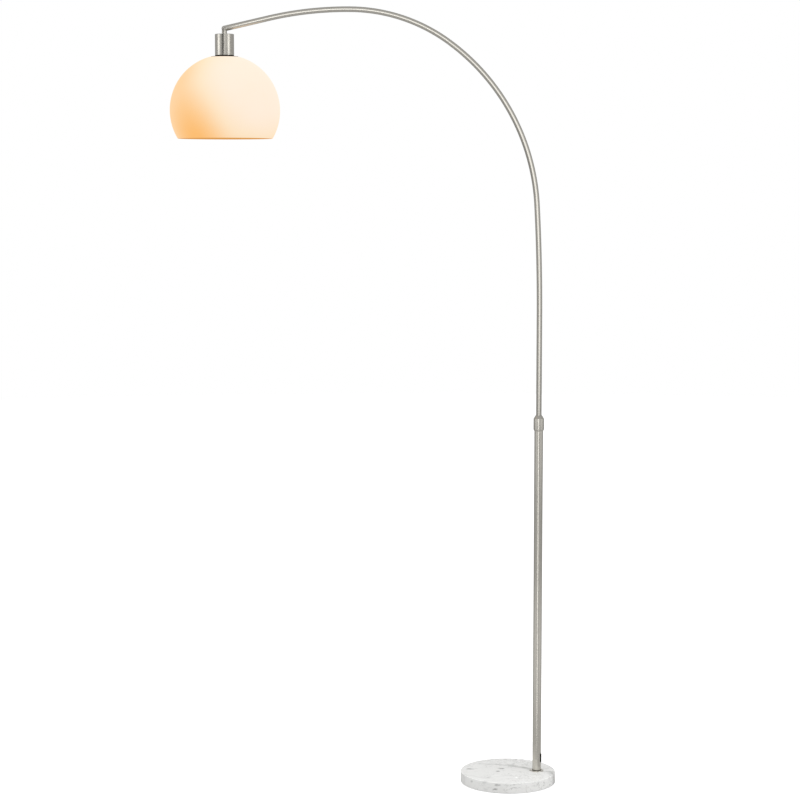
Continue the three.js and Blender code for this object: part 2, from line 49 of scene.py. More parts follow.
# ---------- driving dimensions that the frame doesn't give, in millimetres ----------
ARM_ARCS = [(4300, 3.2), (464, 51.1), (367, 35.0), (754, 13.7)]  # radius, and turn in degrees
GAP = 0.25  # between two pieces that meet
WALL = {"lower_pole": 1.2, "upper_tube": 0.9, "shade": 1.5, "bulb": 0.8, "cup": 0.75}
BASE_EDGE = 1.5  # radius of the marble's rounded edges
PAD_RIM = 0.6
ANCHOR = {"hole": 5.5, "pocket": 17}  # radii of the hollows in the marble, under the pole
FOOT = {
    "outer": 16,
    "hole": 8.25,
    "bevel": 0.7,
    "lobes": 5,
    "notch": 3.2,  # how far the plate's edge goes in between two lobes
    "turn": math.radians(-103),
    "seal_edge": 0.4,
    "squeezed": 1.3,  # how far the pole squeezes the seal out
}
# The cord's bushing: the radii of its corners and its bore, how far its lip covers the slot's edge,
# stands proud of the pole and clears it, and how far its body reaches inside the pole's wall.
LIP = {"corner": 1.8, "cover": 0.75, "proud": 0.65, "lift": 0.2, "inside": 0.9, "bore": 3.25}
# The collar: two radii, how far its foot is set in, the heights of its foot and of its cone, and the
# thickness of the lip at its mouth.
COLLAR = {"bore": 9.8, "mouth": 6.35, "foot": 1.75, "taper": 3.3, "cone": 7.4, "lip": 1.2}
SPIGOT = {"outer": 4.6, "inner": 3.5, "reach": 24, "root": 4}  # the elbow's, inside the arm's end
STUB = {"outer": 5.5, "thread": 4.2}  # radii, under the elbow
CUP_PLATE = 1.25  # thickness of the cup's top
NIPPLE_HOLE = 4.25
SHADE_HOLE = 17.5
SHADE_CENTRE = 1481.4
# The lampholder's shell and its ring nut: radii, the heights of a step and of a flange, and roundings.
HOLDER = {"bore": 14.4, "neck": 17, "flange": 19.2, "top": 17.5, "step": 5, "edge": 0.6}
NUT = {"bore": 17.25, "grip": 22, "flange": 24.5, "thick": 2, "edge": 0.6, "notches": 24, "notch": 0.9}
BULB_NECK = 12
BULB_WAIST = [(4.5, 22), (1.2, 17), (0, 12), (0, 0)]  # out from the neck, and down from the top
BULB_SHOULDER = 35  # how far up the ball goes, in degrees
OVERSHOOT = 5  # how far a tool reaches past a face that it cuts through
STRAIGHT_STEP, CURVED_STEP = 40, 5  # between a tube's rings
SMOOTH_ANGLE = math.radians(32)  # edges that are sharper than this stay sharp


def low(node):
    """A node's lowest corner, in millimetres."""
    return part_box(node)[0] / MM


def high(node):
    """A node's highest corner, in millimetres."""
    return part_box(node)[1] / MM


def centre_x(node):
    return (low(node).x + high(node).x) / 2


def radius(node):
    return (high(node).y - low(node).y) / 2


POLE_X = centre_x("mast_tube")
HEAD_X = centre_x("shade")
SHADE_TOP = high("shade").z
BASE_TOP = high("marble_base").z


# ---------- mesh helpers ----------


def arc(centre, r, start, end, steps):
    """Points [radius, z] along an arc of an outline, between two angles in degrees."""
    angles = [math.radians(start + (end - start) * i / steps) for i in range(steps + 1)]
    return [(centre[0] + r * math.cos(a), centre[1] + r * math.sin(a)) for a in angles]


def ring_outline(inner, outer, bottom, top, edge, steps):
    """A flat ring's outline, with its outer edges rounded."""
    return [
        (inner, bottom),
        *arc((outer - edge, bottom + edge), edge, -90, 0, steps),
        *arc((outer - edge, top - edge), edge, 0, 90, steps),
        (inner, top),
    ]


def piece(name, bm):
    """A new object from a bmesh in millimetres, shaded smooth up to its real edges."""
    bmesh.ops.remove_doubles(bm, verts=bm.verts, dist=1e-4)
    bmesh.ops.recalc_face_normals(bm, faces=bm.faces)
    mesh = bpy.data.meshes.new(name)
    bm.to_mesh(mesh)
    bm.free()
    mesh.transform(Matrix.Scale(MM, 4))
    soften(mesh)
    obj = bpy.data.objects.new(name, mesh)
    bpy.context.scene.collection.objects.link(obj)
    return obj


def soften(mesh):
    """Shades a mesh smooth, apart from its real edges."""
    mesh.shade_smooth()
    mesh.set_sharp_from_angle(angle=SMOOTH_ANGLE)


def revolve(name, outline, x, segments=96, wobble=None):
    """A solid turned about the upright line through x, from a closed outline of (radius, z).
    wobble(radius, angle) gives the radius at each angle, for lobes or notches."""
    bm = bmesh.new()
    rings = []
    for r, z in outline:
        ring = []
        for i in range(segments):
            angle = 2 * math.pi * i / segments
            reach = wobble(r, angle) if wobble else r
            ring.append(bm.verts.new((x + reach * math.cos(angle), reach * math.sin(angle), z)))
        rings.append(ring)
    for a, b in zip(rings, rings[1:] + rings[:1]):
        for i in range(segments):
            j = (i + 1) % segments
            corners = (a[i], a[j], b[j], b[i])
            if (corners[0].co - corners[3].co).length > 1e-6:
                bm.faces.new(corners)
    return piece(name, bm)


def sweep(name, places, outer, inner, sides):
    """A tube along a planar line. places are (x, z, heading) in the lamp's plane. Its map, in
    metres round the tube and along it, is what the brushed hairlines follow."""
    bm = bmesh.new()
    grain = bm.loops.layers.uv.new("grain")
    rows = {outer: [], inner: []}
    for r, row in rows.items():
        for x, z, heading in places:
            side = Vector((math.sin(heading), 0, -math.cos(heading)))
            ring = []
            for i in range(sides):
                angle = 2 * math.pi * i / sides
                spoke = math.cos(angle) * side + Vector((0, math.sin(angle), 0))
                ring.append(bm.verts.new(Vector((x, 0, z)) + r * spoke))
            row.append(ring)
    pitch = (Vector(places[1][:2]) - Vector(places[0][:2])).length
    for r, row in rows.items():
        for k in range(len(row) - 1):
            for i in range(sides):
                j = (i + 1) % sides
                face = bm.faces.new((row[k][i], row[k][j], row[k + 1][j], row[k + 1][i]))
                corners = ((i, k), (i + 1, k), (i + 1, k + 1), (i, k + 1))
                for loop, (a, b) in zip(face.loops, corners):
                    loop[grain].uv = (a / sides * 2 * math.pi * r * MM, b * pitch * MM)
    for end in (0, -1):
        outside, inside = rows[outer][end], rows[inner][end]
        for i in range(sides):
            j = (i + 1) % sides
            bm.faces.new((outside[i], outside[j], inside[j], inside[i]))
    return piece(name, bm)


def rod(name, r, bottom, top, x, segments=48):
    """A closed round bar that stands upright, used as it is or as a tool to cut with."""
    return revolve(name, [(0, bottom), (r, bottom), (r, top), (0, top)], x, segments)


def boolean(obj, operation, *tools):
    """Joins each tool to obj, cuts it away or keeps what they share, and removes the tool."""
    for tool in tools:
        modifier = obj.modifiers.new("boolean", "BOOLEAN")
        modifier.operation = operation
        modifier.solver = "EXACT"
        modifier.object = tool
        applied(obj)
        bpy.data.objects.remove(tool)
    soften(obj.data)
    return obj


def applied(obj):
    """Bakes obj's modifiers into its mesh."""
    bpy.context.view_layer.update()
    graph = bpy.context.evaluated_depsgraph_get()
    mesh = bpy.data.meshes.new_from_object(obj.evaluated_get(graph))
    obj.modifiers.clear()
    old = obj.data
    obj.data = mesh
    bpy.data.meshes.remove(old)


def turned(obj, angle, x, z):
    """Turns obj's mesh about the line along Y through (x, z), in millimetres."""
    pivot = Vector((x, 0, z)) * MM
    turn = Matrix.Rotation(angle, 4, "Y")
    obj.data.transform(Matrix.Translation(pivot) @ turn @ Matrix.Translation(-pivot))
    return obj


# ---------- material helpers ----------


class Paint:
    """A material under construction: a Principled shader and the nodes that feed it."""

    def __init__(self, name, **sockets):
        self.material = bpy.data.materials.new(name)
        self.material.use_nodes = True
        self.nodes = self.material.node_tree.nodes
        self.links = self.material.node_tree.links
        self.shader = self.nodes["Principled BSDF"]
        for socket, value in sockets.items():
            self.shader.inputs[socket.replace("_", " ")].default_value = value

    def node(self, kind, operation=None, **values):
        made = self.nodes.new("ShaderNode" + kind)
        if operation:
            made.operation = operation
        for socket, value in values.items():
            self.set(made, socket.replace("_", " "), value)
        return made

    def set(self, node, socket, value):
        """Sets an input, or links another node to it. socket is its name, or i and its number."""
        by_number = socket[0] == "i" and socket[1:].isdigit()
        target = node.inputs[int(socket[1:]) if by_number else socket]
        if isinstance(value, bpy.types.NodeSocket):
            self.links.new(value, target)
        else:
            target.default_value = value

    def math(self, operation, a, b=0.0):
        return self.node("Math", operation, i0=a, i1=b).outputs[0]

    def vector(self, operation, a, b):
        return self.node("VectorMath", operation, i0=a, i1=b).outputs["Vector"]

    def place(self):
        return self.node("TexCoord").outputs["Object"]

    def stretched(self, x, y, z):
        """Object coordinates, in metres, times a number along each axis."""
        return self.vector("MULTIPLY", self.place(), (x, y, z))

    def noise(self, vector, scale, detail=3.0, roughness=0.5):
        made = self.node("TexNoise", Vector=vector, Scale=scale, Detail=detail, Roughness=roughness)
        return made.outputs["Fac"]

    def ramp(self, factor, *stops):
        """A colour ramp. stops are (position, colour), and a colour may be one number for a grey."""
        made = self.node("ValToRGB", Fac=factor)
        elements = made.color_ramp.elements
        while len(elements) < len(stops):
            elements.new(0.5)
        for element, (position, colour) in zip(elements, stops):
            element.position = position
            grey = not isinstance(colour, tuple)
            element.color = (colour, colour, colour, 1) if grey else (*colour, 1)
        return made.outputs["Color"]

    def range(self, value, from_low, from_high, to_low, to_high, interpolation="LINEAR"):
        """value, moved from one range to another and held inside it."""
        made = self.node("MapRange", Value=value)
        made.interpolation_type = interpolation
        bounds = {"From Min": from_low, "From Max": from_high, "To Min": to_low, "To Max": to_high}
        for socket, number in bounds.items():
            made.inputs[socket].default_value = number
        return made.outputs["Result"]

    def mix(self, factor, a, b, blend="MIX"):
        made = self.nodes.new("ShaderNodeMix")
        made.data_type = "RGBA"
        made.blend_type = blend
        for index, value in ((0, factor), (6, a), (7, b)):
            if isinstance(value, bpy.types.NodeSocket):
                self.links.new(value, made.inputs[index])
            else:
                made.inputs[index].default_value = (*value, 1) if isinstance(value, tuple) else value
        return made.outputs[2]

    def bump(self, height, distance, strength):
        made = self.node("Bump", Height=height, Distance=distance, Strength=strength)
        self.feed("Normal", made.outputs["Normal"])

    def feed(self, socket, value):
        self.set(self.shader, socket, value)


def brushed_metal(name, colour, roughness, grain, along_tube=False):
    """Brushed metal: fine hairlines, stretched along the way that it was polished, and faint smudges.
    grain is how tightly the hairlines are packed along X, Y and Z, or round and along a tube."""
    paint = Paint(name, Metallic=1.0)
    if along_tube:
        surface = paint.node("UVMap")
        surface.uv_map = "grain"
        hairs = paint.vector("MULTIPLY", surface.outputs["UV"], grain)
    else:
        hairs = paint.stretched(*grain)
    lines = paint.noise(hairs, scale=1.0, detail=4.0, roughness=0.6)
    smudges = paint.noise(paint.place(), scale=16.0, detail=2.0)
    spread = 0.03  # of the tint, between one hairline and the next
    dark = tuple((1 - spread) * c for c in colour)
    pale = tuple((1 + spread) * c for c in colour)
    tint = paint.ramp(lines, (0.3, dark), (0.7, pale))
    paint.feed("Base Color", paint.mix(paint.range(smudges, 0.4, 0.7, 0.0, 0.06), tint, dark))
    hairline_gloss = paint.range(lines, 0.3, 0.7, -0.02, 0.02)
    smudge_gloss = paint.range(smudges, 0.3, 0.7, roughness - 0.015, roughness + 0.015)
    paint.feed("Roughness", paint.math("ADD", hairline_gloss, smudge_gloss))
    paint.bump(lines, 0.000004, 0.1)
    return paint.material


def moulded(name, colour, roughness, speckle=900.0, shine=0.5):
    """Moulded plastic or rubber: a fine spark-eroded texture and a little wear in its gloss."""
    paint = Paint(name)
    grain = paint.noise(paint.place(), speckle, detail=2.0)
    wear = paint.noise(paint.place(), scale=60.0, detail=3.0)
    worn = tuple(min(1, 1.25 * c + 0.01) for c in colour)
    paint.feed("Base Color", paint.mix(paint.range(wear, 0.35, 0.7, 0.0, 0.25), colour, worn))
    paint.feed("Roughness", paint.range(wear, 0.3, 0.7, roughness - 0.06, roughness + 0.08))
    paint.bump(grain, 0.00005, 0.5)
    paint.set(paint.shader, "Specular IOR Level", shine)
    return paint.material


# ---------- camera and light, in metres ----------

# The lens is in millimetres and the pitch in degrees.
CAMERA = {"lens": 99.2, "left_of_pole": 0.304, "distance": 4.8005, "height": 1.3284, "pitch": 5.657}
ROOM_FRONT, ROOM_BACK = 0.80, 0.53  # how bright the room is, in front of the lamp and behind it
FLOOR_RADIUS = 9
FLOOR_TONE = (0.50, 0.54)
FLOOR_GLOW = 0.85  # what the camera sees on top of the light that falls on the floor
UPRIGHTS = ["lower_pole_tube", "lock_collar_turned", "foot_ring_lobed"]


def make_camera():
    """Level with the middle of the arm, square to the lamp's plane, and pitched down a little."""
    data = bpy.data.cameras.new("camera")
    data.lens = CAMERA["lens"]
    data.sensor_width = 36
    data.clip_end = 60
    camera = bpy.data.objects.new("camera", data)
    bpy.context.scene.collection.objects.link(camera)
    camera.location = (POLE_X * MM - CAMERA["left_of_pole"], -CAMERA["distance"], CAMERA["height"])
    camera.rotation_euler = (math.radians(90 - CAMERA["pitch"]), 0, 0)
    bpy.context.scene.camera = camera


def softbox(name, place, target, size, brightness, only=()):
    """A panel light that the camera doesn't see. brightness is its radiance, and 1 is as white as
    paper. only lists the pieces that it lights, where it isn't to light them all."""
    data = bpy.data.lights.new(name, "AREA")
    data.shape = "RECTANGLE"
    data.size, data.size_y = size
    data.energy = brightness * math.pi * size[0] * size[1]
    light = bpy.data.objects.new(name, data)
    bpy.context.scene.collection.objects.link(light)
    light.location = place
    direction = Vector(target) - Vector(place)
    light.rotation_euler = direction.to_track_quat("-Z", "Y").to_euler()
    light.visible_camera = False
    if only:
        lit = bpy.data.collections.new(name + "_lights")
        for piece_name in only:
            lit.objects.link(bpy.data.objects[piece_name])
        light.light_linking.receiver_collection = lit
    return light


def flag(name, place, target, size):
    """A black card that only shows in what is glossy."""
    bm = bmesh.new()
    bmesh.ops.create_grid(bm, x_segments=1, y_segments=1, size=0.5)
    mesh = bpy.data.meshes.new(name)
    bm.to_mesh(mesh)
    bm.free()
    mesh.transform(Matrix.Diagonal((*size, 1, 1)))
    card = bpy.data.objects.new(name, mesh)
    bpy.context.scene.collection.objects.link(card)
    card.location = place
    card.rotation_euler = (Vector(target) - Vector(place)).to_track_quat("-Z", "Y").to_euler()
    paint = Paint("flag_black", Roughness=1.0)
    weave = paint.noise(paint.place(), scale=900.0)
    paint.feed("Base Color", paint.ramp(weave, (0.0, 0.004), (1.0, 0.012)))
    paint.set(paint.shader, "Specular IOR Level", 0.0)
    mesh.materials.append(paint.material)
    card.visible_camera = False
    card.visible_diffuse = False
    card.visible_shadow = False


def camera_choice(tree, for_others, for_camera):
    """A shader that the camera sees as for_camera, while it lights the lamp as for_others."""
    path = tree.nodes.new("ShaderNodeLightPath")
    choice = tree.nodes.new("ShaderNodeMixShader")
    tree.links.new(path.outputs["Is Camera Ray"], choice.inputs["Fac"])
    tree.links.new(for_others, choice.inputs[1])
    tree.links.new(for_camera, choice.inputs[2])
    return choice.outputs[0]


def make_world():
    """White where the camera looks, and a pale room round the lamp that is darker at the back."""
    world = bpy.data.worlds.new("studio")
    bpy.context.scene.world = world
    world.use_nodes = True
    tree = world.node_tree
    seen = tree.nodes["Background"]
    seen.inputs["Color"].default_value = (1, 1, 1, 1)
    room = tree.nodes.new("ShaderNodeBackground")
    direction = tree.nodes.new("ShaderNodeTexCoord").outputs["Generated"]
    depth = tree.nodes.new("ShaderNodeSeparateXYZ")
    tree.links.new(direction, depth.inputs[0])
    fade = tree.nodes.new("ShaderNodeMapRange")
    limits = {"From Min": -1, "From Max": 1, "To Min": ROOM_FRONT, "To Max": ROOM_BACK}
    for socket, value in limits.items():
        fade.inputs[socket].default_value = value
    tree.links.new(depth.outputs["Y"], fade.inputs["Value"])
    tree.links.new(fade.outputs["Result"], room.inputs["Strength"])
    surface = camera_choice(tree, room.outputs[0], seen.outputs[0])
    tree.links.new(surface, tree.nodes["World Output"].inputs["Surface"])


def make_floor():
    """A plain white floor that takes a soft shadow."""
    bm = bmesh.new()
    bmesh.ops.create_circle(bm, cap_ends=True, segments=96, radius=FLOOR_RADIUS)
    mesh = bpy.data.meshes.new("floor")
    bm.to_mesh(mesh)
    bm.free()
    floor = bpy.data.objects.new("floor", mesh)
    bpy.context.scene.collection.objects.link(floor)
    paint = Paint("floor_white", Roughness=0.95)
    mottle = paint.noise(paint.place(), scale=3.0)
    paint.feed("Base Color", paint.ramp(mottle, (0.0, FLOOR_TONE[0]), (1.0, FLOOR_TONE[1])))
    paint.set(paint.shader, "Specular IOR Level", 0.0)
    tree = paint.material.node_tree
    glow = tree.nodes.new("ShaderNodeEmission")
    glow.inputs["Strength"].default_value = FLOOR_GLOW
    lit = tree.nodes.new("ShaderNodeAddShader")
    tree.links.new(paint.shader.outputs[0], lit.inputs[0])
    tree.links.new(glow.outputs[0], lit.inputs[1])
    surface = camera_choice(tree, paint.shader.outputs[0], lit.outputs[0])
    tree.links.new(surface, tree.nodes["Material Output"].inputs["Surface"])
    mesh.materials.append(paint.material)


def make_studio():
    """Soft light from above and in front, and smaller panels that each light a few pieces: narrow
    ones that draw the metal's bright lines, and one to each side of the marble's edge."""
    bpy.context.scene.view_settings.view_transform = "Standard"
    make_world()
    make_floor()
    overhead = softbox("overhead", (0, -0.6, 4.2), (0, 0, 0), size=(4, 4), brightness=2.3)
    overhead.visible_glossy = False
    softbox("front", (-0.6, -3.2, 1.6), (0, 0, 1.0), size=(1.6, 2.6), brightness=0.5)
    light_pole(POLE_X * MM)
    light_arm(POLE_X * MM)
    light_cup(HEAD_X * MM, high("socket_cup").z * MM)
    light_base(POLE_X * MM)


def light_pole(x):
    """A bright line down the pole's middle, and a softer light on each of its sides, high and low."""
    middle = 0.45
    softbox("pole_line", (x - 0.05, -0.5, middle), (x, 0, middle), (0.10, 0.98), 1.75, UPRIGHTS)
    for side in (-1, 1):
        for height, rise, brightness in ((0.80, 0.5, 0.34), (0.12, 0.3, 0.30)):
            place = (x + 0.7 * side, -0.35, height)
            softbox("pole_fill", place, (x, 0, height), (0.9, rise), brightness, UPRIGHTS)


def light_arm(pole_x):
    """One panel for the mast and the arm's lower tube, and one for the arm's upper tube."""
    rise = (pole_x, 0, 1.20)
    softbox("mast_line", (pole_x + 0.10, -0.9, 1.25), rise, (1.1, 1.1), 0.76, ["mast", "arm_lower"])
    bend = (-0.3, 0, 1.68)
    softbox("arm_line", (-0.3, -1.0, 1.68), bend, (1.4, 0.4), 1.15, ["arm_upper", "tip_elbow_cast"])


def light_cup(x, top):
    """A bright line near each side of the cup, and a dark one down its middle."""
    aim = (x, 0, top - 0.02)
    softbox("cup_left", (x - 0.460, -0.180, top), aim, (0.22, 0.2), 1.4, ["cup"])
    softbox("cup_right", (x + 0.404, -0.278, top), aim, (0.18, 0.2), 1.45, ["cup"])
    flag("cup_flag", (x - 0.067, -0.27, top), aim, (0.12, 0.16))


def light_base(pole_x):
    """A glint along the back of the plate under the pole, and light on the marble's edge that is
    stronger from the right and doesn't show as a reflection."""
    foot = (pole_x, 0, BASE_TOP * MM)
    softbox("foot_back", (pole_x, 0.9, 0.25), foot, (1.2, 0.3), 0.45, ["foot_ring_lobed"])
    for name, place, brightness in (
        ("slab_right", (2.1, -0.9, 0.12), 12.6),
        ("slab_left", (-2.2, -0.5, 0.12), 6.6),
    ):
        panel = softbox(name, place, (0, 0, 0.01), (0.9, 0.3), brightness, ["marble_slab"])
        panel.visible_glossy = False


# ---------- materials of the lamp ----------

NICKEL = (0.60, 0.578, 0.524)

# The marble's ground, as stops of a cloudy noise.
MARBLE_PALE = [(0.3, (0.905, 0.905, 0.885)), (0.7, (0.95, 0.95, 0.935))]
VEIN_GREY = (0.40, 0.40, 0.385)
FLECK_GREY = (0.16, 0.155, 0.145)
WANDER = 0.024  # how far the veins wander from their lines, in metres

# Broad veins in the marble: start, end and half width, in metres from the base's centre, and depth
# of tone.
VEINS = [
    ((-0.060, 0.056), (-0.018, 0.050), 0.0080, 0.28),
    ((-0.018, 0.050), (0.010, 0.040), 0.0085, 0.45),
    ((0.010, 0.040), (0.036, 0.024), 0.0090, 0.60),
    ((0.036, 0.024), (0.062, 0.004), 0.0100, 0.72),
    ((0.066, -0.002), (0.092, -0.010), 0.0045, 0.38),
    ((0.094, -0.012), (0.101, -0.036), 0.0120, 0.85),
    ((0.016, 0.036), (0.020, 0.062), 0.0045, 0.5),
    ((-0.104, -0.030), (-0.050, -0.070), 0.0060, 0.22),
    ((-0.010, -0.040), (0.060, -0.064), 0.0060, 0.16),
]
# Hairlines: stretch along X, Y and Z, scale, half width and depth of tone.
HAIRLINES = [((1.0, 2.4, 2.4), 20.0, 0.016, 0.60), ((1.6, 1.0, 1.8), 34.0, 0.014, 0.45)]
# Dark flecks: place in metres, half length along X and depth of tone.
FLECKS = [
    (-0.082, 0.012, 0.0245, 0.011, 0.85),
    (-0.071, 0.016, 0.0245, 0.009, 0.55),
    (-0.016, 0.016, 0.0245, 0.011, 1.0),
    (-0.024, -0.008, 0.0245, 0.010, 0.85),
    (0.064, -0.034, 0.0245, 0.008, 0.60),
    (-0.027, -0.101, 0.017, 0.011, 1.0),
    (-0.034, -0.099, 0.008, 0.008, 0.65),
    (-0.080, -0.068, 0.016, 0.010, 0.40),
    (-0.056, -0.089, 0.021, 0.008, 0.25),
]
FLECK_SHAPE = (1, 1.6, 2.6)  # how many times shorter than its length a fleck is, along X, Y and Z

# The shade's glow is the bulb's light painted on it as colour and emission: stops from its deepest tone,
# painted shade where less light falls, to its palest, outside and on the inner face.
OUTER_GLOW = [
    (0.0, (0.98, 0.52, 0.175)),
    (0.3, (0.99, 0.615, 0.30)),
    (0.52, (0.99, 0.695, 0.42)),
    (0.76, (0.99, 0.79, 0.565)),
    (1.0, (1.0, 0.845, 0.70)),
]
INNER_GLOW = [(0.0, (0.66, 0.30, 0.07)), (0.25, (0.95, 0.52, 0.20)), (1.0, (1.0, 0.80, 0.56))]
# Places in the glow are in metres from the ball's centre.
GLOW_WAY = (0.66, -0.54, 0.52)  # the way that it grows paler
GLOW_SPAN = (-0.010, 0.105)  # along that way
# Painted shade: the glow is darkest round this spot, low down at the front left.
PAINTED_SHADE_SPOT = (-0.053, -0.085, -0.065)  # where it is deepest
PAINTED_SHADE_REACH = 0.081
PAINTED_SHADE_SHAPE = (1, 1, 0.63)  # how many times shorter its reach is, along X, Y and Z
# Painted shade: the inner face is painted darker towards the mouth, across this span upwards.
INNER_SPAN = (-0.062, 0.02)  # upwards
SKIN = (0.0011, 0.0003)  # how deep in the wall the outer glow starts, and is complete
BULB_GLOW = [(0.0, (1.0, 0.90, 0.74)), (0.6, (1.0, 0.86, 0.66)), (1.0, (1.0, 0.68, 0.40))]


def vein(paint, place, start, end, width, depth):
    """depth on the upright plane over a line from start to end, fading to 0 at its half width."""
    run = Vector(end) - Vector(start)
    along = run.normalized()
    flat = paint.vector("MULTIPLY", place, (1, 1, 0))
    offset = paint.vector("SUBTRACT", flat, (*start, 0))
    reach = paint.node("VectorMath", "DOT_PRODUCT", i0=offset, i1=(*along, 0)).outputs["Value"]
    clamped = paint.math("MAXIMUM", paint.math("MINIMUM", reach, run.length), 0.0)
    nearest = paint.node("VectorMath", "SCALE", i0=(*along, 0), Scale=clamped).outputs["Vector"]
    gap = paint.vector("SUBTRACT", offset, nearest)
    distance = paint.node("VectorMath", "LENGTH", i0=gap).outputs["Value"]
    return paint.range(distance, 0.0, width, depth, 0.0)


def marble():
    """White marble: a pale cloudy ground, hairline veins, a few darker streaks, and a polished face."""
    paint = Paint("marble")
    place = paint.place()
    clouds = paint.noise(place, scale=11.0, detail=3.0, roughness=0.5)
    ground = paint.ramp(clouds, *MARBLE_PALE)
    warp = paint.node("TexNoise", Vector=place, Scale=22.0, Detail=5.0, Roughness=0.6).outputs["Color"]
    centred = paint.vector("SUBTRACT", warp, (0.5, 0.5, 0.5))
    bent = paint.vector("ADD", place, paint.vector("MULTIPLY", centred, (WANDER, WANDER, WANDER)))
    crystals = paint.noise(place, scale=260.0, detail=3.0, roughness=0.6)
    broken = paint.range(crystals, 0.35, 0.6, 0.6, 1.0)
    for start, end, width, depth in VEINS:
        strength = paint.math("MULTIPLY", vein(paint, bent, start, end, width, depth), broken)
        ground = paint.mix(strength, ground, VEIN_GREY)
    for stretch, scale, width, depth in HAIRLINES:
        field = paint.noise(paint.vector("MULTIPLY", bent, stretch), scale, detail=5.0, roughness=0.55)
        ridge = paint.math("ABSOLUTE", paint.math("SUBTRACT", field, 0.5))
        patch = paint.range(paint.noise(place, scale=16.0, detail=2.0), 0.36, 0.56, 0.0, 1.0)
        line = paint.math("MULTIPLY", paint.range(ridge, 0.0, width, depth, 0.0), patch)
        ground = paint.mix(line, ground, VEIN_GREY)
    for x, y, z, length, depth in FLECKS:
        offset = paint.vector("SUBTRACT", bent, (x, y, z))
        squeezed = paint.vector("MULTIPLY", offset, tuple(times / length for times in FLECK_SHAPE))
        reach = paint.node("VectorMath", "LENGTH", i0=squeezed).outputs["Value"]
        fleck = paint.math("MULTIPLY", paint.range(reach, 0.4, 1.0, depth, 0.0), broken)
        ground = paint.mix(fleck, ground, FLECK_GREY)
    paint.feed("Base Color", ground)
    paint.feed("Roughness", paint.range(clouds, 0.3, 0.7, 0.20, 0.28))
    paint.set(paint.shader, "Coat Weight", 0.25)
    paint.set(paint.shader, "Coat Roughness", 0.12)
    return paint.material


def opal():
    """Opal acrylic, with the bulb's light painted on as its colour and glow: cream where it faces up and
    back, painted shade in deep orange low down at the front left and deeper on its inner face, with a
    fine grained surface."""
    paint = Paint("opal_acrylic", Roughness=0.45)
    place = paint.place()
    centre = (HEAD_X * MM, 0, SHADE_CENTRE * MM)
    offset = paint.vector("SUBTRACT", place, centre)
    along = paint.node("VectorMath", "DOT_PRODUCT", i0=offset, i1=GLOW_WAY).outputs["Value"]
    level = paint.range(along, *GLOW_SPAN, 0.40, 1.0, "SMOOTHSTEP")
    # Painted shade: the glow is made darker round a spot low down at the front left.
    from_painted_shade = paint.vector("MULTIPLY", paint.vector("SUBTRACT", offset, PAINTED_SHADE_SPOT), PAINTED_SHADE_SHAPE)
    far = paint.node("VectorMath", "LENGTH", i0=from_painted_shade).outputs["Value"]
    painted_shade = paint.range(far, 0.0, PAINTED_SHADE_REACH, 0.42, 0.0, "SMOOTHSTEP")
    level = paint.math("SUBTRACT", level, painted_shade)
    soft = paint.range(paint.noise(place, scale=14.0, detail=2.0), 0.3, 0.7, -0.02, 0.02)
    outside = paint.ramp(paint.math("ADD", level, soft), *OUTER_GLOW)
    height = paint.node("SeparateXYZ", Vector=offset).outputs["Z"]
    # Painted shade: the inner face's glow is darker towards the mouth.
    inside = paint.ramp(paint.range(height, *INNER_SPAN, 0.0, 1.0), *INNER_GLOW)
    depth = paint.node("VectorMath", "LENGTH", i0=offset).outputs["Value"]
    outer_radius = radius("shade") * MM
    skin = paint.range(depth, outer_radius - SKIN[0], outer_radius - SKIN[1], 0.0, 1.0)
    glow = paint.mix(skin, inside, outside)
    # The painted light and shade go into both the base colour, dimmed, and the emission.
    paint.feed("Base Color", paint.mix(1.0, glow, (0.06, 0.06, 0.06), "MULTIPLY"))
    paint.feed("Emission Color", glow)
    paint.set(paint.shader, "Emission Strength", 0.96)
    paint.set(paint.shader, "Coat Weight", 0.03)
    paint.set(paint.shader, "Coat Roughness", 0.35)
    paint.set(paint.shader, "Specular IOR Level", 0.05)
    grain = paint.noise(place, scale=700.0, detail=2.0)
    paint.bump(grain, 0.00003, 0.4)
    return paint.material


def lit_glass():
    """The bulb's opal glass, palest at its lower end and warmer towards its neck."""
    paint = Paint("opal_glass", Roughness=0.2)
    height = paint.node("SeparateXYZ", Vector=paint.place()).outputs["Z"]
    rise = paint.range(height, low("bulb_glass").z * MM, high("bulb_glass").z * MM, 0.0, 1.0)
    glow = paint.ramp(rise, *BULB_GLOW)
    paint.feed("Base Color", paint.mix(1.0, glow, (0.08, 0.08, 0.08), "MULTIPLY"))
    paint.feed("Emission Color", glow)
    paint.set(paint.shader, "Emission Strength", 0.97)
    paint.bump(paint.noise(paint.place(), scale=500.0, detail=2.0), 0.00002, 0.3)
    return paint.material


FINISHES = {
    "marble": marble(),
    "nickel_upright": brushed_metal("satin_nickel_upright", NICKEL, 0.27, (2600, 2600, 25)),
    "nickel_turned": brushed_metal("satin_nickel_turned", NICKEL, 0.27, (60, 60, 5200)),
    "nickel_arm": brushed_metal("satin_nickel_arm", NICKEL, 0.27, (2600, 25, 1), along_tube=True),
    "zinc": brushed_metal("zinc_plate", (0.55, 0.56, 0.58), 0.35, (700, 700, 700)),
    "brass": brushed_metal("turned_brass", (0.72, 0.52, 0.22), 0.3, (60, 60, 4200)),
    "opal": opal(),
    "bulb": lit_glass(),
    "black": moulded("black_plastic", (0.008, 0.008, 0.008), 0.5, shine=0.3),
    "matt_black": moulded("matt_black_plastic", (0.004, 0.004, 0.004), 0.8, shine=0.0),
    "rubber": moulded("black_rubber", (0.016, 0.013, 0.011), 0.7, speckle=400.0, shine=0.05),
    "white": moulded("white_plastic", (0.80, 0.79, 0.75), 0.4),
    "nylon": moulded("natural_nylon", (0.72, 0.70, 0.64), 0.5),
}


def finish_piece(obj, node, body, finish):
    """Gives a new piece its material, and lets it stand for a CAD node."""
    obj.data.materials.clear()
    obj.data.materials.append(FINISHES[finish])
    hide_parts(node)
    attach(obj, body)


# ---------- base and pole ----------


